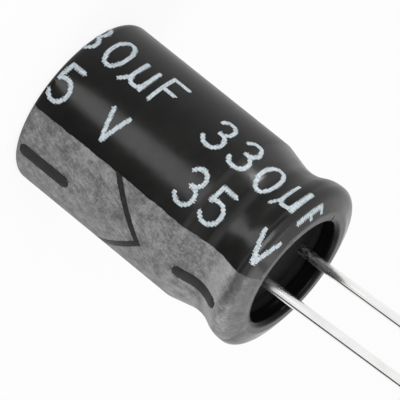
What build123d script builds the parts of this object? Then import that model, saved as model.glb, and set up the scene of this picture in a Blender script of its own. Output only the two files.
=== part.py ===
"""Radial electrolytic capacitor: a wound foil element in a sleeved aluminium can, closed by a rubber bung.

The can stands on its closed end. +Z runs along its axis, out of the rubber end, and both leads lie on X.
All sizes are millimetres.
"""

from build123d import *
import os
from math import cos, floor, radians, sin

# --- Overall sizes ---
can_diameter = 10.0
body_height = 15.93  # over the sleeve, from the closed end to the crown of the rim

# --- Shrunk plastic sleeve ---
sleeve_wall = 0.13
sleeve_gap = 0.02  # between the sleeve and the can
closed_lip_radius = 3.9  # the opening under the closed end
closed_corner = 0.5
rim_lip_radius = 3.34  # the opening at the rubber end
rim_lip_corner = 0.3
rim_lip_depth = 0.93  # how far the lip turns down inside the curl

# --- Bead groove and crimped rim, measured on the sleeve's skin, down from the crown of the rim ---
groove_start_drop = 4.78
groove_floor_drop = 2.59
rim_start_drop = 1.39
rim_shoulder_drop = 0.43
groove_depth = 0.54  # to the corner that the groove's floor rounds off
rim_bulge = 0.07
groove_entry_radius = 1.5
groove_floor_radius = 2.25
rim_entry_radius = 1.7
rim_corner = 0.58
crown_radius = 4.05  # where the shoulder ends and the flat crown starts
crown_round = 0.4

# --- Can ---
can_wall = 0.3
curl_radius = 3.55  # the face of the edge that curls down onto the rubber
curl_corner = 0.35
curl_depth = 0.98  # from the crown of the rim down to that edge
vent_length = 5.0
vent_width = 0.25
vent_depth = 0.12

# --- Rubber bung ---
bung_height = 3.6
bung_gap = 0.02  # between the rubber and what it touches
dish_depth = 0.35
dish_floor_radius = 3.15
dish_mouth_radius = 3.5

# --- Leads ---
lead_pitch = 5.0
wire_diameter = 0.6
anode_reach = 21.0  # beyond the rim
cathode_reach = 17.0
lead_lean = 2.5  # degrees from Z, the same way on both
lead_lean_heading = -121.0  # degrees about Z from +X
lead_bend_radius = 4.0
lead_bend_rise = 0.1  # beyond the rim

# --- Tabs: a round stem in the bung, rolled flat below it ---
stem_diameter = 1.3
stem_cover = 0.25  # rubber over the top of the stem
stem_below = 0.3  # stem left round under the bung
tab_thickness = 0.16
tab_width = 1.6
tab_margin = 2.3  # from the tab's end to the foil's lower edge

# --- Wound element ---
core_radius = 1.0
anode_foil_thickness = 0.10
cathode_foil_thickness = 0.05
paper_thickness = 0.05
wind_gap = 0.01  # between neighbouring layers
tab_gap = 0.03  # on each side of a tab
element_lift = 0.1  # above the can's floor
element_headroom = 0.6  # under the bung
foil_margin = 0.4  # of paper beyond each edge of the foil
tape_margin = 1.1  # of paper beyond each edge of the tape
tape_thickness = 0.06
tape_gap = 0.03  # round the roll
bore_gap = 0.04  # between the tape and the can

os.makedirs("parts", exist_ok=True)

# Places that follow from the sizes above
can_radius = can_diameter / 2
can_inset = sleeve_wall + sleeve_gap  # from the sleeve's skin in to the can's
bore_inset = can_inset + can_wall
sleeve_radius = can_radius + can_inset
curl_edge = body_height - curl_depth
bung_top = curl_edge - bung_gap
bung_base = bung_top - bung_height
dish_floor = bung_top - dish_depth
stem_top = dish_floor - stem_cover
stem_base = bung_base - stem_below
element_base = bore_inset + element_lift
element_top = bung_base - element_headroom
tab_end = element_base + foil_margin + tab_margin
roll_radius = can_radius - can_wall - bore_gap - tape_thickness - tape_gap


def moved_in(corners, inset):
    """The same run of corners, moved to its left by inset."""
    points = [Vector(*corner) for corner in corners]
    runs = [(end - start).normalized() for start, end in zip(points, points[1:])]
    normals = [Vector(-run.Y, run.X) for run in runs]
    moved = [points[0] + normals[0] * inset]
    for corner, before, after in zip(points[1:], normals, normals[1:]):
        moved.append(corner + (before + after) * (inset / (1 + before.dot(after))))
    moved.append(points[-1] + normals[-1] * inset)
    return moved


def body_outline(inset, start_radius, lip_radius, lip_corner, lip_edge):
    """The body's profile, inset from the sleeve's skin, from the closed end out, up and in over the rim.

    It starts at start_radius and ends where the edge inside the rim, at lip_radius, turns down to lip_edge.
    """
    rim_radius = sleeve_radius + rim_bulge
    corners = [
        (start_radius, 0),
        (sleeve_radius, 0),
        (sleeve_radius, body_height - groove_start_drop),
        (sleeve_radius - groove_depth, body_height - groove_floor_drop),
        (rim_radius, body_height - rim_start_drop),
        (rim_radius, body_height - rim_shoulder_drop),
        (crown_radius, body_height),
        (lip_radius - inset, body_height),
        (lip_radius - inset, lip_edge),
    ]
    radii = [
        closed_corner - inset,
        groove_entry_radius - inset,
        groove_floor_radius + inset,
        rim_entry_radius - inset,
        rim_corner - inset,
        crown_round - inset,
        lip_corner,
    ]
    return FilletPolyline(*moved_in(corners, inset), radius=[max(radius, 0.02) for radius in radii])


# The sleeve: film shrunk over the whole can, with a lip folded over each end
with BuildPart() as sleeve:
    with BuildSketch(Plane.XZ):
        with BuildLine():
            lip_edge = body_height - rim_lip_depth
            skin = body_outline(0, closed_lip_radius, rim_lip_radius, rim_lip_corner, lip_edge)
            lining_lip_radius = rim_lip_radius + sleeve_wall
            lining_lip_corner = rim_lip_corner - sleeve_wall
            lining = body_outline(sleeve_wall, closed_lip_radius, lining_lip_radius, lining_lip_corner, lip_edge)
            Line(skin @ 0, lining @ 0)
            Line(skin @ 1, lining @ 1)
        make_face()
    revolve(axis=Axis.Z)
sleeve.part.label = "sleeve"
export_step(sleeve.part, "parts/sleeve.step")

# The can: drawn aluminium, beaded inwards, with its edge curled down onto the rubber
with BuildPart() as can:
    with BuildSketch(Plane.XZ):
        with BuildLine():
            outside = body_outline(can_inset, 0, curl_radius, curl_corner, curl_edge)
            inside = body_outline(bore_inset, 0, curl_radius + can_wall, curl_corner - can_wall, curl_edge)
            Line(outside @ 0, inside @ 0)
            Line(outside @ 1, inside @ 1)
        make_face()
    revolve(axis=Axis.Z)
    # The vent: a cross scored into the closed end, so that it opens there under pressure
    with BuildSketch(Plane.XY.offset(can_inset)):
        Rectangle(vent_length, vent_width)
        Rectangle(vent_width, vent_length)
    extrude(amount=vent_depth, mode=Mode.SUBTRACT)
can.part.label = "can"
export_step(can.part, "parts/can.step")

# The bung: it fills the can between its base and the curl, so it is waisted where the bead bites into it
with BuildPart() as bung:
    with BuildSketch(Plane.XZ):
        with BuildLine():
            wall = body_outline(bore_inset + bung_gap, 0, curl_radius + can_wall, bung_gap, curl_edge)
            Polyline(wall @ 1, (0, curl_edge), (0, 0), wall @ 0)
        make_face()
        with Locations((0, bung_base)):
            Rectangle(can_diameter, bung_height, align=(Align.MIN, Align.MIN), mode=Mode.INTERSECT)
    revolve(axis=Axis.Z)
    with BuildSketch(Plane.XY.offset(dish_floor)):
        Circle(dish_floor_radius)
    with BuildSketch(Plane.XY.offset(bung_top)):
        Circle(dish_mouth_radius)
    loft(mode=Mode.SUBTRACT)
    with Locations((-lead_pitch / 2, 0, bung_base), (lead_pitch / 2, 0, bung_base)):
        Cylinder(
            wire_diameter / 2 + bung_gap,
            bung_height,
            align=(Align.CENTER, Align.CENTER, Align.MIN),
            mode=Mode.SUBTRACT,
        )
        Cylinder(
            stem_diameter / 2 + bung_gap,
            stem_top + bung_gap - bung_base,
            align=(Align.CENTER, Align.CENTER, Align.MIN),
            mode=Mode.SUBTRACT,
        )
bung.part.label = "rubber_bung"
export_step(bung.part, "parts/rubber_bung.step")


def lead(name, x, reach):
    """A wire from the top of its stem at x, straight up past the rim, then leaning, to reach beyond the rim."""
    foot = Vector(x, 0, stem_top)
    bend = Vector(x, 0, body_height + lead_bend_rise)
    rise = reach - lead_bend_rise
    run = rise * sin(radians(lead_lean)) / cos(radians(lead_lean))
    tip = bend + Vector(run * cos(radians(lead_lean_heading)), run * sin(radians(lead_lean_heading)), rise)
    with BuildPart() as wire:
        with BuildLine() as path:
            FilletPolyline(foot, bend, tip, radius=lead_bend_radius)
        with BuildSketch(Plane(foot)):
            Circle(wire_diameter / 2)
        sweep(path=path.wire())
    wire.part.label = name
    export_step(wire.part, f"parts/{name}.step")


lead("anode_lead", -lead_pitch / 2, anode_reach)
lead("cathode_lead", lead_pitch / 2, cathode_reach)

# --- The roll: paper, anode foil, paper and cathode foil wound together, seen here from the inside out ---
layer_thicknesses = {
    "inner_separator": paper_thickness,
    "anode_foil": anode_foil_thickness,
    "outer_separator": paper_thickness,
    "cathode_foil": cathode_foil_thickness,
}
layer_names = list(layer_thicknesses)
turn_step = sum(layer_thicknesses.values()) + len(layer_names) * wind_gap
tab_room = tab_thickness + 2 * tab_gap - wind_gap


def layer_start(name):
    """How far outside the roll's innermost face this layer starts."""
    inner = layer_names[: layer_names.index(name)]
    return sum(layer_thicknesses[layer] + wind_gap for layer in inner)


def half_turn_under(name, side):
    """The half turn of this layer whose outer face is nearest to the lead. Even ones lie on +X, odd ones on -X."""
    face = core_radius + layer_start(name) + layer_thicknesses[name]
    steps = (lead_pitch / 2 - tab_thickness / 2 - tab_gap - face) / turn_step
    return 2 * round(steps - side / 2) + side


anode_tab_turn = half_turn_under("anode_foil", 1)
cathode_tab_turn = half_turn_under("cathode_foil", 0)


def half_turns(name):
    """The radius and the centre's Y of the inner face of each half turn, as far out as the can's bore allows.

    Each half turn is half a step wider than the last and meets it on the Y axis. Outside each tab, two half turns
    widen by half the tab's room each, and so do the inner layers one whole turn later.
    """
    outside_anode = layer_names.index(name) > layer_names.index("anode_foil")
    first_widened = anode_tab_turn - 1 if outside_anode else anode_tab_turn + 1
    widened = [first_widened, first_widened + 1, cathode_tab_turn + 1, cathode_tab_turn + 2]
    first_turn_outside = core_radius + turn_step / 4 + layer_start("cathode_foil") + cathode_foil_thickness
    count = 1 + floor((roll_radius - first_turn_outside - 2 * tab_room) / (turn_step / 2))
    radius = core_radius + layer_start(name)
    centre = turn_step / 4
    turns = [(radius, centre)]
    for turn in range(1, count):
        growth = turn_step / 2 + widened.count(turn) * tab_room / 2
        radius += growth
        centre += growth if turn % 2 == 0 else -growth
        turns.append((radius, centre))
    return turns


def wound_layer(name, margin):
    """One strip's whole spiral, with its edges set in by margin from the roll's two ends."""
    thickness = layer_thicknesses[name]
    turns = half_turns(name)
    with BuildPart() as strip:
        with BuildSketch(Plane.XY.offset(element_base + margin)):
            with BuildLine():
                for turn, (radius, centre) in enumerate(turns):
                    start = 90 if turn % 2 else -90
                    inner_face = CenterArc((0, centre), radius, start, 180)
                    outer_face = CenterArc((0, centre), radius + thickness, start, 180)
                    if turn == 0:
                        Line(inner_face @ 0, outer_face @ 0)
                Line(inner_face @ 1, outer_face @ 1)
            make_face()
        extrude(amount=element_top - element_base - 2 * margin)
    strip.part.label = name
    export_step(strip.part, f"parts/{name}.step")


wound_layer("inner_separator", 0)
wound_layer("anode_foil", foil_margin)
wound_layer("outer_separator", 0)
wound_layer("cathode_foil", foil_margin)


def tab(name, x, layer, turn):
    """A stem in the bung under the lead at x, rolled to a curved blade that lies on its foil's turn."""
    radius, centre = half_turns(layer)[turn]
    inner_radius = radius + layer_thicknesses[layer] + tab_gap
    outer_radius = inner_radius + tab_thickness
    side = 1 if x > 0 else -1
    with BuildPart() as piece:
        with BuildSketch(Plane.XY.offset(stem_base)):
            with Locations((x, 0)):
                Circle(stem_diameter / 2)
        extrude(amount=stem_top - stem_base)
        with BuildSketch(Plane.XY.offset(tab_end)):
            with Locations((0, centre)):
                Circle(outer_radius)
                Circle(inner_radius, mode=Mode.SUBTRACT)
            with Locations((side * outer_radius, 0)):
                Rectangle(outer_radius, tab_width, mode=Mode.INTERSECT)
        extrude(amount=stem_base + stem_below / 2 - tab_end)
    piece.part.label = name
    export_step(piece.part, f"parts/{name}.step")


tab("anode_tab", -lead_pitch / 2, "anode_foil", anode_tab_turn)
tab("cathode_tab", lead_pitch / 2, "cathode_foil", cathode_tab_turn)

# The tape that holds the roll shut
with BuildPart() as tape:
    with BuildSketch(Plane.XY.offset(element_base + tape_margin)):
        Circle(roll_radius + tape_gap + tape_thickness)
        Circle(roll_radius + tape_gap, mode=Mode.SUBTRACT)
    extrude(amount=element_top - element_base - 2 * tape_margin)
tape.part.label = "winding_tape"
export_step(tape.part, "parts/winding_tape.step")
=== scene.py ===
"""Looks of a radial electrolytic capacitor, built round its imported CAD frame."""

from math import cos, hypot, pi, radians, sin

import bpy
import numpy as np
from mathutils import Matrix, Vector, noise
from mathutils.bvhtree import BVHTree


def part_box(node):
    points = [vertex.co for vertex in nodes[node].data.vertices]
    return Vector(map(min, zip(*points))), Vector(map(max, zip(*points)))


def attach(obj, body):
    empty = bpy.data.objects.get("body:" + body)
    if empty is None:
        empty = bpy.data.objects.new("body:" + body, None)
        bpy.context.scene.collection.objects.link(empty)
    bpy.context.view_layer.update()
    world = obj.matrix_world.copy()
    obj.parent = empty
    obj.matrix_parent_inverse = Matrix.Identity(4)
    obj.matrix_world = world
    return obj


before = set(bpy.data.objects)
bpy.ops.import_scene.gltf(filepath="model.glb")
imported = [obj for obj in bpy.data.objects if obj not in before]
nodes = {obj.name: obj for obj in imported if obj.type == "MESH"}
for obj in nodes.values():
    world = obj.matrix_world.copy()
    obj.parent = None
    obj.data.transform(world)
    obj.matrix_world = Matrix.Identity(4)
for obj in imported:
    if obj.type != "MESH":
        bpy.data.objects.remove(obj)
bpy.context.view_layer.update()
MM = 0.001

# Camera: a long lens that looks down on the rubber end, rolled so that the leads point down to the right.
VIEW_AZIMUTH = radians(-31.0)
VIEW_ELEVATION = radians(19.55)
VIEW_ROLL = radians(129.02)
VIEW_TARGET = Vector((-0.25, 0.29, 9.02)) * MM
VIEW_DISTANCE = 268 * MM
LENS = 448.6
SENSOR = 36.0

# From here on, sizes are mm. Stripe and marks on the sleeve: lengths along it are from the closed end.
SKIN_RADIUS = 5.15
STRIPE_AZIMUTH = radians(20.0)
STRIPE_HALF_WIDTH = 2.79
STRIPE_BLUR = 0.02
STRIPE_WOBBLE = 0.04
MINUS_WIDTH = 0.8
MINUS_AZIMUTH = radians(19.2)
MINUS_SPANS = ((0.42, 3.97), (11.5, 14.78))
CHEVRON_APEX = 9.08
CHEVRON_BACK = 6.42
CHEVRON_STROKE = 0.34
CHEVRON_OVERLAP = 0.05  # past the stripe's edge
CHEVRON_MARGIN = (1.0, 0.2)  # of bare cells along it and around it

# A nick in the film on the crown of the rim: its ends are distances from the axis.
NICK_AZIMUTH = radians(-107.0)
NICK_INNER = 3.42
NICK_OUTER = 3.88
NICK_HALF_WIDTH = 0.08
NICK_CORE = 0.4  # the share of the half width that has full depth
NICK_BLUR = 0.05
NICK_DEPTH = 0.05

# Zones of the sleeve by height: where a zone starts, is full, starts to end and has ended.
BEAD_ZONE = (10.9, 12.4, 14.9, 15.5)
# The grey ink is painted paler in this zone: painted light on the bead.
PAINTED_LIGHT_BEAD_ZONE = (13.3, 14.1, 14.5, 14.9)
# This zone, its edge and its wobble give painted shade: the stripe darkens on the rim, on its side toward
# the camera.
PAINTED_SHADE_RIM_ZONE = (14.8, 15.1, 15.5, 15.75)
PAINTED_SHADE_RIM_EDGE = (radians(5.0), radians(17.0))
PAINTED_SHADE_RIM_WOBBLE = 0.16
CROWN_INK_START = (15.35, 15.75)
CROWN_START = (15.0, 15.2)
RIM_FOLD_START = (15.2, 15.5)
CLOSED_FOLD_END = (0.1, 0.6)
LIP_RADIUS = (3.5, 3.75)
LIP_START = (14.0, 14.5)

# The wires are dull, then matt, up to these heights.
DULL_WIRE_END = (15.2, 16.6)
MATT_WIRE_END = (15.8, 18.5)

# Rating, printed along the sleeve and repeated.
PRINT_PERIOD = 11.0
DIGIT_HEIGHT = 2.18
UNIT_HEIGHT = 1.75
LETTER_STROKE = 0.24
UPPER_BASELINE = radians(-58.2)
LOWER_BASELINE = radians(-20.5)
UPPER_START = 8.28
LOWER_START = 9.53

# Every print is a thin plate that follows the sleeve.
PRINT_CELL = (0.04, 0.028)
PRINT_HEIGHT = 0.02
PRINT_SUNK = 0.03
PRINT_LOWEST = 0.06
PRINT_WOBBLE = 0.02
PRINT_WOBBLES_PER_MM = 6.0
PRINT_CORNER_GAP = 0.04  # a crossing stays this share of a cell away from a corner
RASTER_PITCH = 0.15
RASTER_DEPTH = 0.032

# The rim has drawn the print on over its crown, by up to RIM_PULL between these lengths.
RIM_PULL = 0.22
RIM_PULL_START = 15.1
RIM_PULL_END = 16.3

# The sleeve's profile is sampled at one azimuth: radii under the closed end, heights on the wall, then radii
# on the crown from outside in. Length equals height at LEVEL_HEIGHT.
PROFILE_AZIMUTH = 0.08  # radians
PROFILE_STEP = 0.04
PROFILE_UNDER = (4.0, 4.86)
PROFILE_WALL_END = 0.05  # below the sleeve's top
PROFILE_CROWN = (4.78, 3.6)
LEVEL_HEIGHT = 5.0
SLOPE_REACH = 0.05

# The reflector is a flat card that bends up into a bowl. Angles on it are degrees from the camera's azimuth.
CARD_LIFT = 0.1
CARD_SIDES = 64
CARD_RADIUS = 75.0
CARD_FADE = (34.0, 52.0)
CARD_BOWL_RADIUS = 300.0
CARD_BOWL_RISE = 150.0
CARD_DIM_SIDE_END = (55.0, 85.0)
CARD_DIM_START = (80.0, 100.0)
CARD_DIM_TONE = 0.3
CARD_GAP = (56.0, 66.0, 96.0, 108.0)
CARD_GAP_TONE = 0.08
CARD_TONES = ((-150, 0.6), (-108, 0.62), (-86, 0.5), (-70, 0.38), (-50, 0.28), (-27, 0.26), (-17, 2.3),
              (6, 2.5), (15, 0.24), (40, 0.15), (100, 0.3), (150, 0.6))
CARD_TOP_TONE = 3.0

# These two are metres.
FLOOR_REACH = 3.0
LAMP_TARGET = Vector((0.0, 0.0, 10.0)) * MM


# ---------------------------------------------------------------- camera, floor and light


def polar(azimuth, elevation, distance):
    """A point at that azimuth, elevation and distance from the origin."""
    level = distance * cos(elevation)
    return Vector((level * cos(azimuth), level * sin(azimuth), distance * sin(elevation)))


def link(obj):
    bpy.context.scene.collection.objects.link(obj)
    return obj


def make_camera():
    data = bpy.data.cameras.new("camera")
    data.lens = LENS
    data.sensor_width = SENSOR
    data.clip_start = 0.01
    data.clip_end = 20.0
    camera = link(bpy.data.objects.new("camera", data))
    back = polar(VIEW_AZIMUTH, VIEW_ELEVATION, 1.0)
    level = Vector((-sin(VIEW_AZIMUTH), cos(VIEW_AZIMUTH), 0.0))
    rise = back.cross(level)
    right = cos(VIEW_ROLL) * level + sin(VIEW_ROLL) * rise
    up = cos(VIEW_ROLL) * rise - sin(VIEW_ROLL) * level
    turn = Matrix((right, up, back)).transposed().to_4x4()
    camera.matrix_world = Matrix.Translation(VIEW_TARGET + VIEW_DISTANCE * back) @ turn
    bpy.context.scene.camera = camera


class Shader:
    """A node tree, with a short call for each kind of node used here."""

    def __init__(self, tree):
        self.tree = tree

    def put(self, socket, value):
        if isinstance(value, bpy.types.NodeSocket):
            self.tree.links.new(value, socket)
        else:
            socket.default_value = value

    def node(self, kind, inputs=(), **settings):
        made = self.tree.nodes.new("ShaderNode" + kind)
        for name, value in settings.items():
            setattr(made, name, value)
        for key, value in dict(inputs).items():
            self.put(made.inputs[key], value)
        return made

    def math(self, operation, a, b=0.0, clamp=False):
        inputs = {0: a} if operation in ("ABSOLUTE", "SQRT") else {0: a, 1: b}
        return self.node("Math", inputs, operation=operation, use_clamp=clamp).outputs[0]

    def add(self, a, b):
        return self.math("ADD", a, b)

    def times(self, a, b):
        return self.math("MULTIPLY", a, b)

    def place(self):
        """The point on the object, in mm."""
        point = self.node("TexCoord").outputs["Object"]
        scaled = self.node("VectorMath", {0: point, "Scale": 1.0 / MM}, operation="SCALE")
        return scaled.outputs[0]

    def split(self, vector):
        return self.node("SeparateXYZ", {0: vector}).outputs

    def stretch(self, vector, turn=(0.0, 0.0, 0.0), scale=(1.0, 1.0, 1.0)):
        turned = self.node("VectorRotate", {"Vector": vector, "Rotation": turn}, rotation_type="EULER_XYZ")
        return self.node("VectorMath", {0: turned.outputs[0], 1: scale}, operation="MULTIPLY").outputs[0]

    def noise(self, vector, scale, detail=2.0, roughness=0.5):
        inputs = {"Vector": vector, "Scale": scale, "Detail": detail, "Roughness": roughness}
        return self.node("TexNoise", inputs).outputs["Fac"]

    def remap(self, value, low, high, out_low=0.0, out_high=1.0, smooth=False):
        kind = "SMOOTHSTEP" if smooth else "LINEAR"
        inputs = {"Value": value, "From Min": low, "From Max": high, "To Min": out_low, "To Max": out_high}
        return self.node("MapRange", inputs, interpolation_type=kind).outputs["Result"]

    def rise(self, value, edge):
        """0 below the edge's first end, 1 above its second."""
        return self.remap(value, edge[0], edge[1], smooth=True)

    def drop(self, value, edge):
        """1 below the edge's first end, 0 above its second."""
        return self.remap(value, edge[1], edge[0], smooth=True)

    def zone(self, value, ends):
        """Rises over the first two of ends and drops over the last two."""
        return self.times(self.rise(value, ends[:2]), self.drop(value, ends[2:]))

    def mix(self, factor, a, b):
        made = self.node("Mix", data_type="RGBA")
        self.put(made.inputs[0], factor)
        self.put(made.inputs[6], a)
        self.put(made.inputs[7], b)
        return made.outputs[2]

    def bump(self, height, depth, normal=None):
        """Raises the surface by height times depth in mm."""
        inputs = {"Height": height, "Distance": depth * MM, "Strength": 1.0}
        made = self.node("Bump", inputs)
        if normal is not None:
            self.put(made.inputs["Normal"], normal)
        return made.outputs["Normal"]


def grey(value):
    return (value, value, value, 1.0)


def shown_rays(s):
    """1 for the rays that see the backdrop: camera, glossy and transmission."""
    path = s.node("LightPath").outputs
    seen = s.math("ADD", path["Is Camera Ray"], path["Is Glossy Ray"], clamp=True)
    return s.math("ADD", seen, path["Is Transmission Ray"], clamp=True)


def make_world(level):
    world = bpy.data.worlds.new("studio")
    world.use_nodes = True
    bpy.context.scene.world = world
    s = Shader(world.node_tree)
    background = world.node_tree.nodes["Background"]
    background.inputs["Color"].default_value = grey(1.0)
    s.put(background.inputs["Strength"], s.remap(shown_rays(s), 0.0, 1.0, level, 1.0))


def new_stage_material(name):
    """A material with no shader yet, its shader helper and its output socket."""
    material = bpy.data.materials.new(name)
    material.use_nodes = True
    s = Shader(material.node_tree)
    material.node_tree.nodes.clear()
    return material, s, s.node("OutputMaterial").inputs["Surface"]


def make_floor(glow):
    """A white floor. Part of what the backdrop rays see is plain white, so that the shadow stays soft."""
    corners = [(x * FLOOR_REACH, y * FLOOR_REACH, 0.0) for x, y in ((-1, -1), (1, -1), (1, 1), (-1, 1))]
    mesh = bpy.data.meshes.new("floor")
    mesh.from_pydata(corners, [], [(0, 1, 2, 3)])
    floor = link(bpy.data.objects.new("floor", mesh))
    material, s, surface = new_stage_material("floor")
    card = s.node("BsdfDiffuse", {"Color": grey(0.92)})
    white = s.node("Emission", {"Color": grey(1.0), "Strength": 1.0})
    blend = s.node("MixShader", {0: s.times(shown_rays(s), glow)})
    s.put(blend.inputs[1], card.outputs[0])
    s.put(blend.inputs[2], white.outputs[0])
    s.put(surface, blend.outputs[0])
    mesh.materials.append(material)


def soft_light(name, azimuth, elevation, distance, width, height, radiance):
    """An area lamp that faces the middle of the object. Angles are degrees, and lengths are metres."""
    data = bpy.data.lights.new(name, "AREA")
    data.shape = "RECTANGLE"
    data.size = width
    data.size_y = height
    data.energy = pi * width * height * radiance
    lamp = link(bpy.data.objects.new(name, data))
    away = polar(radians(azimuth), radians(elevation), distance)
    lamp.location = LAMP_TARGET + away
    lamp.rotation_euler = away.to_track_quat("Z", "Y").to_euler()
    lamp.visible_camera = False


def card_strength(s):
    """How bright the reflector is at each point. Near the object the tone follows the bearing. Farther out
    it is white, but for a narrow dark gap and the dim side of the room behind the camera."""
    front = polar(VIEW_AZIMUTH, 0.0, SKIN_RADIUS)
    offset = s.node("VectorMath", {0: s.place(), 1: front}, operation="SUBTRACT").outputs[0]
    x, y, _ = s.split(s.stretch(offset, turn=(0.0, 0.0, -VIEW_AZIMUTH)))
    turn = s.times(s.math("ARCTAN2", y, x), 180.0 / pi)
    curve = s.node("ValToRGB", {0: s.remap(turn, -180.0, 180.0)})
    elements = curve.color_ramp.elements
    while len(elements) < len(CARD_TONES):
        elements.new(0.5)
    for element, (angle, tone) in zip(elements, CARD_TONES):
        element.position = (angle + 180.0) / 360.0
        element.color = grey(tone / CARD_TOP_TONE)
    near = s.times(curve.outputs[0], CARD_TOP_TONE)
    distance = s.node("VectorMath", {0: s.place()}, operation="LENGTH").outputs["Value"]
    dim = s.times(s.drop(s.math("ABSOLUTE", turn), CARD_DIM_SIDE_END), s.rise(distance, CARD_DIM_START))
    gap = s.zone(turn, CARD_GAP)
    far = s.times(s.remap(dim, 0.0, 1.0, 1.0, CARD_DIM_TONE), s.remap(gap, 0.0, 1.0, 1.0, CARD_GAP_TONE))
    return s.add(s.times(near, s.drop(distance, CARD_FADE)), s.times(far, s.rise(distance, CARD_FADE)))


def make_reflector():
    """A graded card under and round the object, which only gloss sees."""
    turns = [2 * pi * i / CARD_SIDES for i in range(CARD_SIDES)]
    rings = ((CARD_RADIUS, CARD_LIFT), (CARD_BOWL_RADIUS, CARD_BOWL_RISE))
    verts = [(r * cos(a) * MM, r * sin(a) * MM, h * MM) for r, h in rings for a in turns]
    bowl = []
    for i in range(CARD_SIDES):
        following = (i + 1) % CARD_SIDES
        bowl.append((i, following, CARD_SIDES + following, CARD_SIDES + i))
    mesh = bpy.data.meshes.new("reflector")
    mesh.from_pydata(verts, [], [tuple(range(CARD_SIDES))] + bowl)
    card = link(bpy.data.objects.new("reflector", mesh))
    material, s, surface = new_stage_material("reflector")
    emission = s.node("Emission", {"Color": grey(1.0), "Strength": card_strength(s)})
    s.put(surface, emission.outputs[0])
    mesh.materials.append(material)
    for ray in ("camera", "diffuse", "transmission", "volume_scatter", "shadow"):
        setattr(card, "visible_" + ray, False)


# ---------------------------------------------------------------- materials


def new_material(name, **values):
    """A Principled material and its shader, with plain numbers on the shader's own sockets."""
    material = bpy.data.materials.new(name)
    material.use_nodes = True
    s = Shader(material.node_tree)
    bsdf = material.node_tree.nodes["Principled BSDF"]
    for key, value in values.items():
        bsdf.inputs[key.replace("_", " ")].default_value = value
    return material, s, bsdf.inputs


def finish_material(s, inputs, colour, roughness, normal):
    s.put(inputs["Base Color"], colour)
    s.put(inputs["Roughness"], roughness)
    s.put(inputs["Normal"], normal)


def film_relief(s, point):
    """The fine orange peel of shrunk film, and the short creases round the bead and the folded ends."""
    height = s.split(point)[2]
    peel = s.noise(point, scale=2.2, detail=3.0)
    normal = s.bump(peel, depth=0.004)
    folds = s.noise(s.stretch(point, scale=(1.0, 1.0, 0.3)), scale=0.42, detail=1.0)
    normal = s.bump(s.times(folds, s.zone(height, BEAD_ZONE)), 0.14, normal)
    creases = s.noise(point, scale=1.6)
    ends = s.math("MAXIMUM", s.drop(height, CLOSED_FOLD_END), s.rise(height, RIM_FOLD_START))
    return s.bump(s.times(creases, ends), 0.010, normal)


def nick_mask(s, point):
    """1 in the nick on the crown."""
    x, y, z = s.split(s.stretch(point, turn=(0.0, 0.0, -NICK_AZIMUTH)))
    across = s.drop(s.math("ABSOLUTE", y), (NICK_CORE * NICK_HALF_WIDTH, NICK_HALF_WIDTH))
    ends = (NICK_INNER - NICK_BLUR, NICK_INNER + NICK_BLUR, NICK_OUTER - NICK_BLUR, NICK_OUTER + NICK_BLUR)
    return s.times(s.times(across, s.zone(x, ends)), s.remap(z, *CROWN_START))


def stripe_mask(s, point):
    """1 on the grey polarity stripe."""
    x, y, _ = s.split(s.stretch(point, turn=(0.0, 0.0, -STRIPE_AZIMUTH)))
    around = s.times(s.math("ABSOLUTE", s.math("ARCTAN2", y, x)), SKIN_RADIUS)
    wobble = s.remap(s.noise(point, scale=1.3, detail=3.0), 0.3, 0.7, -STRIPE_WOBBLE, STRIPE_WOBBLE)
    return s.drop(s.add(around, wobble), (STRIPE_HALF_WIDTH - STRIPE_BLUR, STRIPE_HALF_WIDTH + STRIPE_BLUR))


def grey_ink(s, point):
    """Mottled grey ink: blotches, grain, and short dark hairlines where the film has creased. It is painted
    paler in the bead as painted light, and painted darker on the rim, on the stripe's side toward the
    camera, as painted shade."""
    blotches = s.noise(point, scale=1.5, detail=4.0, roughness=0.62)
    grain = s.noise(point, scale=7.0, roughness=0.6)
    mottle = s.add(s.times(blotches, 0.6), s.times(grain, 0.4))
    tone = s.mix(s.remap(mottle, 0.36, 0.64), grey(0.105), grey(0.33))
    leaning = s.stretch(point, turn=(radians(24.0), 0.0, -STRIPE_AZIMUTH), scale=(1.0, 3.4, 0.8))
    hairs = s.drop(s.noise(leaning, scale=2.1, detail=3.0, roughness=0.6), (0.36, 0.50))
    tone = s.mix(s.times(hairs, 0.5), tone, grey(0.075))
    x, y, z = s.split(point)
    # Painted light: the ink is paler over the bead.
    tone = s.mix(s.times(s.zone(z, PAINTED_LIGHT_BEAD_ZONE), 0.45), tone, grey(0.52))
    tone = s.mix(s.times(s.rise(z, CROWN_INK_START), 0.62), tone, grey(0.05))
    # Painted shade: the ink darkens toward black on the rim, on the stripe's side toward the camera.
    wobble = s.noise(point, scale=1.1, detail=3.0)
    height = s.add(z, s.remap(wobble, 0.3, 0.7, -PAINTED_SHADE_RIM_WOBBLE, PAINTED_SHADE_RIM_WOBBLE))
    beside = s.drop(s.math("ARCTAN2", y, x), PAINTED_SHADE_RIM_EDGE)
    rim_shade = s.times(s.zone(height, PAINTED_SHADE_RIM_ZONE), beside)
    return s.mix(s.times(rim_shade, 0.75), tone, grey(0.035))


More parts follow.
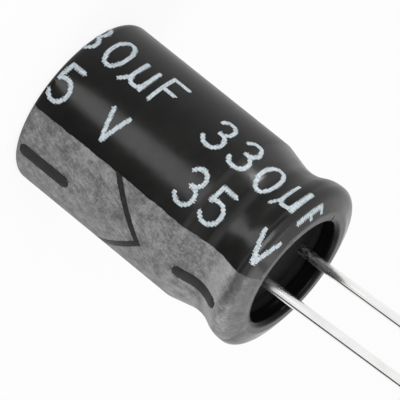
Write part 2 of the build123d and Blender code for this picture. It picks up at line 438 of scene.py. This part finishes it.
def film_material():
    material, s, inputs = new_material("shrink_film", IOR=1.45)
    point = s.place()
    stripe = stripe_mask(s, point)
    tone = s.remap(s.noise(point, scale=0.6, detail=3.0), 0.3, 0.7)
    film = s.mix(tone, (0.0045, 0.0045, 0.0042, 1.0), (0.0085, 0.0085, 0.0078, 1.0))
    colour = s.mix(stripe, film, grey_ink(s, point))
    smears = s.noise(point, scale=1.6, detail=4.0, roughness=0.6)
    gloss = s.times(s.remap(smears, 0.3, 0.75, 0.17, 0.27), s.math("SUBTRACT", 1.0, stripe))
    matt = s.times(s.remap(smears, 0.3, 0.75, 0.38, 0.5), stripe)
    x, y, z = s.split(point)
    reach = s.math("SQRT", s.add(s.times(x, x), s.times(y, y)))
    # Painted shade in the recess: inside the lip the film's colour is darkened and its specular level
    # lowered.
    lip_shade = s.times(s.drop(reach, LIP_RADIUS), s.remap(z, *LIP_START))
    s.put(inputs["Specular IOR Level"], s.remap(lip_shade, 0.0, 1.0, 0.5, 0.08))
    # The nick's colour is darkened as painted shade in its dent; the dent itself is the bump below.
    nick = nick_mask(s, point)
    colour = s.mix(nick, s.mix(lip_shade, colour, grey(0.004)), grey(0.002))
    roughness = s.add(s.add(gloss, matt), s.times(nick, 0.5))
    normal = s.bump(s.math("SUBTRACT", 1.0, nick), NICK_DEPTH, film_relief(s, point))
    finish_material(s, inputs, colour, roughness, normal)
    return material


def white_ink_material():
    material, s, inputs = new_material("white_ink", IOR=1.45)
    point = s.place()
    patchy = s.noise(point, scale=7.0, detail=3.0, roughness=0.7)
    colour = s.mix(s.remap(patchy, 0.36, 0.6), (0.34, 0.39, 0.42, 1.0), (0.60, 0.67, 0.71, 1.0))
    roughness = s.remap(patchy, 0.3, 0.7, 0.3, 0.5)
    finish_material(s, inputs, colour, roughness, s.bump(patchy, depth=0.006))
    return material


def black_mark_material():
    material, s, inputs = new_material("bare_film", IOR=1.45)
    point = s.place()
    grain = s.noise(point, scale=4.0, detail=3.0, roughness=0.6)
    colour = s.mix(s.remap(grain, 0.3, 0.7), grey(0.010), grey(0.026))
    finish_material(s, inputs, colour, s.remap(grain, 0.3, 0.7, 0.3, 0.45), film_relief(s, point))
    return material


def rubber_material():
    material, s, inputs = new_material("rubber", IOR=1.45, Specular_IOR_Level=0.12)
    point = s.place()
    grain = s.noise(point, scale=9.0, detail=4.0, roughness=0.65)
    bloom = s.noise(point, scale=1.2, detail=3.0)
    colour = s.mix(s.remap(bloom, 0.35, 0.7), grey(0.003), grey(0.008))
    roughness = s.remap(bloom, 0.3, 0.7, 0.6, 0.8)
    finish_material(s, inputs, colour, roughness, s.bump(grain, depth=0.012))
    return material


def tinned_material():
    """Bright tin over steel: die lines along the wire, a patchy tin skin and dull specks near the rubber."""
    material, s, inputs = new_material("tinned_wire", Metallic=1.0)
    point = s.place()
    height = s.split(point)[2]
    lines = s.noise(s.stretch(point, scale=(7.0, 7.0, 0.12)), scale=1.0)
    skin = s.noise(s.stretch(point, scale=(1.0, 1.0, 0.3)), scale=1.8, detail=3.0, roughness=0.55)
    specks = s.noise(s.stretch(point, scale=(1.0, 1.0, 0.45)), scale=7.0, roughness=0.6)
    dull = s.times(s.remap(specks, 0.42, 0.6), s.drop(height, DULL_WIRE_END))
    bright = s.mix(s.remap(skin, 0.3, 0.7), (0.80, 0.80, 0.80, 1.0), (0.93, 0.93, 0.92, 1.0))
    colour = s.mix(dull, bright, grey(0.12))
    roughness = s.add(s.remap(skin, 0.3, 0.7, 0.08, 0.16), s.times(s.drop(height, MATT_WIRE_END), 0.2))
    normal = s.bump(skin, 0.0016, s.bump(lines, 0.0016))
    finish_material(s, inputs, colour, roughness, normal)
    return material


def aluminium_material(name, dark, light, fineness, roughness, relief, along=1.0):
    """Aluminium with a grain of that fineness per mm, times along on the axis. roughness is its lowest and
    highest."""
    material, s, inputs = new_material(name, Metallic=1.0)
    point = s.place()
    grain = s.noise(s.stretch(point, scale=(1.0, 1.0, along)), scale=fineness, detail=4.0, roughness=0.65)
    clouds = s.noise(point, scale=0.7)
    colour = s.mix(s.remap(s.add(grain, clouds), 0.7, 1.3), grey(dark), grey(light))
    finish_material(s, inputs, colour, s.remap(clouds, 0.3, 0.7, *roughness), s.bump(grain, relief))
    return material


def paper_material():
    material, s, inputs = new_material("kraft_paper", IOR=1.4)
    point = s.place()
    laid = s.stretch(point, turn=(0.5, 0.2, 0.0), scale=(1.0, 1.0, 0.3))
    fibres = s.noise(laid, scale=6.0, detail=5.0, roughness=0.7)
    damp = s.noise(point, scale=0.5)
    pale = s.mix(s.remap(fibres, 0.35, 0.7), (0.52, 0.41, 0.26, 1.0), (0.74, 0.64, 0.47, 1.0))
    colour = s.mix(s.remap(damp, 0.4, 0.75, 0.0, 0.5), pale, (0.40, 0.30, 0.17, 1.0))
    finish_material(s, inputs, colour, s.remap(damp, 0.3, 0.7, 0.85, 0.55), s.bump(fibres, depth=0.02))
    return material


def tape_material():
    material, s, inputs = new_material("film_tape", IOR=1.5, Transmission_Weight=0.15)
    point = s.place()
    haze = s.noise(point, scale=1.4, detail=3.0)
    colour = s.mix(s.remap(haze, 0.3, 0.7), (0.62, 0.46, 0.20, 1.0), (0.78, 0.62, 0.32, 1.0))
    finish_material(s, inputs, colour, s.remap(haze, 0.3, 0.7, 0.2, 0.4), s.bump(haze, depth=0.01))
    return material


def paint_nodes():
    """Gives every CAD node its material."""
    tinned = tinned_material()
    paper = paper_material()
    can = aluminium_material(
        "drawn_aluminium", dark=0.62, light=0.84, fineness=2.5, roughness=(0.2, 0.34), relief=0.006,
        along=0.15)
    tab = aluminium_material(
        "tab_aluminium", dark=0.55, light=0.8, fineness=3.0, roughness=(0.3, 0.45), relief=0.01, along=0.3)
    anode_foil = aluminium_material(
        "etched_anode", dark=0.26, light=0.44, fineness=14.0, roughness=(0.6, 0.8), relief=0.02)
    cathode_foil = aluminium_material(
        "etched_cathode", dark=0.45, light=0.64, fineness=10.0, roughness=(0.4, 0.6), relief=0.012)
    finishes = {
        "sleeve": film_material(),
        "can": can,
        "rubber_bung": rubber_material(),
        "anode_lead": tinned,
        "cathode_lead": tinned,
        "anode_tab": tab,
        "cathode_tab": tab,
        "anode_foil": anode_foil,
        "cathode_foil": cathode_foil,
        "inner_separator": paper,
        "outer_separator": paper,
        "winding_tape": tape_material(),
    }
    for name, material in finishes.items():
        mesh = nodes[name].data
        mesh.materials.clear()
        mesh.materials.append(material)


# ---------------------------------------------------------------- print on the sleeve


class Skin:
    """The sleeve's outer skin, as a profile by length along it. Length agrees with height on the straight
    wall. Print lies between the lengths first and last."""

    def __init__(self, node):
        mesh = node.data
        self.tree = BVHTree.FromPolygons([v.co for v in mesh.vertices], [p.vertices for p in mesh.polygons])
        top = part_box(node.name)[1][2] / MM
        wall_heights = np.arange(PRINT_LOWEST, top - PROFILE_WALL_END, PROFILE_STEP)
        under = [self.hit((radius, -top), (0, 1)) for radius in np.arange(*PROFILE_UNDER, PROFILE_STEP)]
        wall = [self.hit((2 * SKIN_RADIUS, height), (-1, 0)) for height in wall_heights]
        crown = [self.hit((radius, 2 * top), (0, -1)) for radius in np.arange(*PROFILE_CROWN, -PROFILE_STEP)]
        self.points = np.array(under + wall + crown)
        steps = np.hypot(*np.diff(self.points, axis=0).T)
        self.length = np.concatenate(([0.0], np.cumsum(steps)))
        on_wall = slice(len(under), len(under) + len(wall))
        length_there = np.interp(LEVEL_HEIGHT, self.points[on_wall, 1], self.length[on_wall])
        self.length += LEVEL_HEIGHT - length_there
        self.first = self.length[on_wall][0]
        self.last = self.length[-3]  # leaves room for the slope beyond it

    def hit(self, start, way):
        """Where a ray in the profile's plane first meets the sleeve. All are (radius, height)."""
        across = Vector((cos(PROFILE_AZIMUTH), sin(PROFILE_AZIMUTH), 0.0))
        upward = Vector((0.0, 0.0, 1.0))
        origin = (across * start[0] + upward * start[1]) * MM
        place = self.tree.ray_cast(origin, across * way[0] + upward * way[1])[0] / MM
        return hypot(place.x, place.y), place.z

    def profile(self, length):
        """The radius and height at that length."""
        return np.array([np.interp(length, self.length, column) for column in self.points.T])

    def at(self, length, azimuth, lift):
        """The point lift mm above the skin, in metres. The rim has drawn the print on over the crown."""
        pull = min(max((length - RIM_PULL_START) / (RIM_PULL_END - RIM_PULL_START), 0.0), 1.0)
        length += RIM_PULL * pull * pull * (3.0 - 2.0 * pull)
        slope = self.profile(length + SLOPE_REACH) - self.profile(length - SLOPE_REACH)
        slope /= hypot(*slope)
        radius, height = self.profile(length) + lift * np.array((slope[1], -slope[0]))
        return (radius * cos(azimuth) * MM, radius * sin(azimuth) * MM, height * MM)


def stroke_field(strokes, half_width):
    """A field that is positive within half_width of the strokes, each a list of (length, around) points. Its
    edge has the fine teeth of a printed raster."""
    starts = np.concatenate([np.array(s[:-1]) for s in strokes])
    ends = np.concatenate([np.array(s[1:]) for s in strokes])
    runs = ends - starts
    squares = np.maximum((runs**2).sum(axis=1), 1e-9)

    def field(length, around):
        points = np.stack([length, around], axis=-1)[..., None, :]
        share = np.clip(((points - starts) * runs).sum(axis=-1) / squares, 0.0, 1.0)
        gaps = np.linalg.norm(points - starts - share[..., None] * runs, axis=-1)
        raster = np.sin(2 * pi * around / RASTER_PITCH) + np.sin(2 * pi * length / RASTER_PITCH)
        return half_width - gaps.min(axis=-1) + RASTER_DEPTH * raster

    return field


def outline_cells(values):
    """Polygons of grid points and edge crossings that cover where values is positive. A corner is (i, j),
    and a crossing is a pair of corners."""
    rows, columns = values.shape
    for i in range(rows - 1):
        for j in range(columns - 1):
            corners = [(i, j), (i + 1, j), (i + 1, j + 1), (i, j + 1)]
            if max(values[c] for c in corners) <= 0.0:
                continue
            polygon = []
            for a, b in zip(corners, corners[1:] + corners[:1]):
                if values[a] > 0.0:
                    polygon.append(a)
                if (values[a] > 0.0) != (values[b] > 0.0):
                    polygon.append((min(a, b), max(a, b)))
            yield polygon


def add_plate(verts, faces, field, span, skin):
    """Adds a thin closed plate over the part of span where field is positive. span is the low and high
    length, and the low and high distance around, in mm."""
    lengths = np.arange(span[0], span[1] + PRINT_CELL[0], PRINT_CELL[0])
    arounds = np.arange(span[2], span[3] + PRINT_CELL[1], PRINT_CELL[1])
    grid = np.stack(np.meshgrid(lengths, arounds, indexing="ij"), axis=-1)
    wobble = [[noise.noise(Vector((l, a, 0.0)) * PRINT_WOBBLES_PER_MM) for a in arounds] for l in lengths]
    values = field(grid[..., 0], grid[..., 1]) + PRINT_WOBBLE * np.array(wobble)
    on_skin = (grid[..., 0] > skin.first) & (grid[..., 0] < skin.last)
    bare = -PRINT_CELL[0]
    values = np.where(on_skin, values, bare)
    values[[0, -1], :] = bare
    values[:, [0, -1]] = bare
    known = {}

    def vertex(key):
        if key not in known:
            if isinstance(key[0], tuple):
                a, b = key
                share = values[a] / (values[a] - values[b])
                share = min(max(share, PRINT_CORNER_GAP), 1.0 - PRINT_CORNER_GAP)
                place = grid[a] + share * (grid[b] - grid[a])
            else:
                place = grid[key]
            known[key] = len(verts)
            azimuth = place[1] / SKIN_RADIUS
            verts.append(skin.at(place[0], azimuth, PRINT_HEIGHT))
            verts.append(skin.at(place[0], azimuth, -PRINT_SUNK))
        return known[key]

    sides = []
    for polygon in outline_cells(values):
        top = [vertex(key) for key in polygon]
        faces.append(top[::-1])
        faces.append([v + 1 for v in top])
        sides.extend(zip(top, top[1:] + top[:1]))
    edges = dict.fromkeys(sides)
    for a, b in edges:
        if (b, a) not in edges:
            faces.append([a, b, b + 1, a + 1])


def arc(x, y, radius_x, radius_y, start, end, steps=20):
    """Points of an elliptic arc, with its angles in degrees."""
    angles = np.radians(np.linspace(start, end, steps))
    return [(x + radius_x * cos(a), y + radius_y * sin(a)) for a in angles]


# Each sign is a list of strokes on a body 1 high. x runs along the sleeve, y up the sign.
SIGNS = {
    "0": [arc(0.27, 0.5, 0.25, 0.5, 0, 360, 40)],
    "3": [arc(0.26, 0.755, 0.225, 0.245, 155, -90) + arc(0.26, 0.265, 0.27, 0.265, 90, -155)],
    "5": [[(0.50, 1.0), (0.12, 1.0), (0.07, 0.56)] + arc(0.265, 0.32, 0.275, 0.32, 128, -150)],
    "F": [[(0.0, 0.0), (0.0, 1.0), (0.45, 1.0)], [(0.0, 0.52), (0.37, 0.52)]],
    "V": [[(0.0, 1.0), (0.31, 0.0), (0.62, 1.0)]],
    "u": [[(-0.2, -0.07), (-0.02, 0.16), (0.0, 0.78)], arc(0.19, 0.2, 0.19, 0.18, 180, 330) + [(0.40, 0.4)],
          [(0.40, 0.78), (0.40, 0.02)]],
}


def add_sign(verts, faces, sign, start, baseline, height, skin):
    """Prints a sign that starts at that length, with its foot on the baseline's azimuth."""
    strokes = []
    for stroke in SIGNS[sign]:
        strokes.append([(start + x * height, baseline * SKIN_RADIUS - y * height) for x, y in stroke])
    points = np.concatenate([np.array(stroke) for stroke in strokes])
    low = points.min(axis=0) - 3 * LETTER_STROKE
    high = points.max(axis=0) + 3 * LETTER_STROKE
    field = stroke_field(strokes, LETTER_STROKE / 2)
    add_plate(verts, faces, field, (low[0], high[0], low[1], high[1]), skin)


def print_piece(name, verts, faces, material):
    """Makes the plates one piece, attached to the root body."""
    mesh = bpy.data.meshes.new(name)
    mesh.from_pydata(verts, [], faces)
    mesh.validate()
    mesh.polygons.foreach_set("use_smooth", [False] * len(mesh.polygons))
    mesh.materials.append(material)
    piece = link(bpy.data.objects.new(name, mesh))
    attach(piece, "root")


def print_row(name, signs, first, baseline, material, skin):
    """Prints a row of (sign, place along the row, height), once for each period that reaches the sleeve."""
    verts, faces = [], []
    for start in (first - PRINT_PERIOD, first):
        for sign, place, height in signs:
            if skin.first < start + place + height and start + place < skin.last:
                add_sign(verts, faces, sign, start + place, baseline, height, skin)
    print_piece(name, verts, faces, material)


def print_marks(material, skin):
    """The minus signs and the chevron on the stripe."""
    verts, faces = [], []
    half = MINUS_WIDTH / 2
    level = MINUS_AZIMUTH * SKIN_RADIUS
    for start, end in MINUS_SPANS:
        ends = [(start + half, level), (end - half, level)]
        span = (start - half, end + half, level - 2 * half, level + 2 * half)
        add_plate(verts, faces, stroke_field([ends], half), span, skin)
    middle = STRIPE_AZIMUTH * SKIN_RADIUS
    lean = (CHEVRON_APEX - CHEVRON_BACK) / STRIPE_HALF_WIDTH
    across = 1.0 / hypot(1.0, lean)
    reach = STRIPE_HALF_WIDTH + CHEVRON_OVERLAP
    beyond, beside = CHEVRON_MARGIN

    def chevron(length, around):
        side = np.abs(around - middle)
        line = CHEVRON_STROKE / 2 - np.abs(length - CHEVRON_APEX + lean * side) * across
        return np.minimum(line, reach - side)

    side_span = (middle - reach - beside, middle + reach + beside)
    span = (CHEVRON_BACK - beyond, CHEVRON_APEX + beyond, *side_span)
    add_plate(verts, faces, chevron, span, skin)
    print_piece("polarity_marks", verts, faces, material)


# ---------------------------------------------------------------- the scene

bpy.context.scene.view_settings.view_transform = "Standard"
make_camera()
make_world(level=0.4)
make_floor(glow=0.88)
soft_light("front", azimuth=-37.0, elevation=32.0, distance=0.26, width=0.13, height=0.17, radiance=4.0)
soft_light("top", azimuth=100.0, elevation=70.0, distance=0.45, width=0.40, height=0.40, radiance=1.2)
soft_light("side", azimuth=70.0, elevation=30.0, distance=0.35, width=0.20, height=0.20, radiance=2.2)
soft_light("streak", azimuth=-93.0, elevation=10.0, distance=0.09, width=0.014, height=0.026, radiance=14.0)
make_reflector()
paint_nodes()
sleeve_skin = Skin(nodes["sleeve"])
white_ink = white_ink_material()
print_row(
    "capacitance_print",
    [("3", 0.25, DIGIT_HEIGHT), ("3", 2.12, DIGIT_HEIGHT), ("0", 3.96, DIGIT_HEIGHT),
     ("u", 6.05, DIGIT_HEIGHT), ("F", 7.65, DIGIT_HEIGHT)],
    UPPER_START, UPPER_BASELINE, white_ink, sleeve_skin,
)
print_row(
    "voltage_print",
    [("3", 0.0, DIGIT_HEIGHT), ("5", 1.75, DIGIT_HEIGHT), ("V", 5.42, UNIT_HEIGHT)],
    LOWER_START, LOWER_BASELINE, white_ink, sleeve_skin,
)
print_marks(black_mark_material(), sleeve_skin)

bpy.context.view_layer.update()
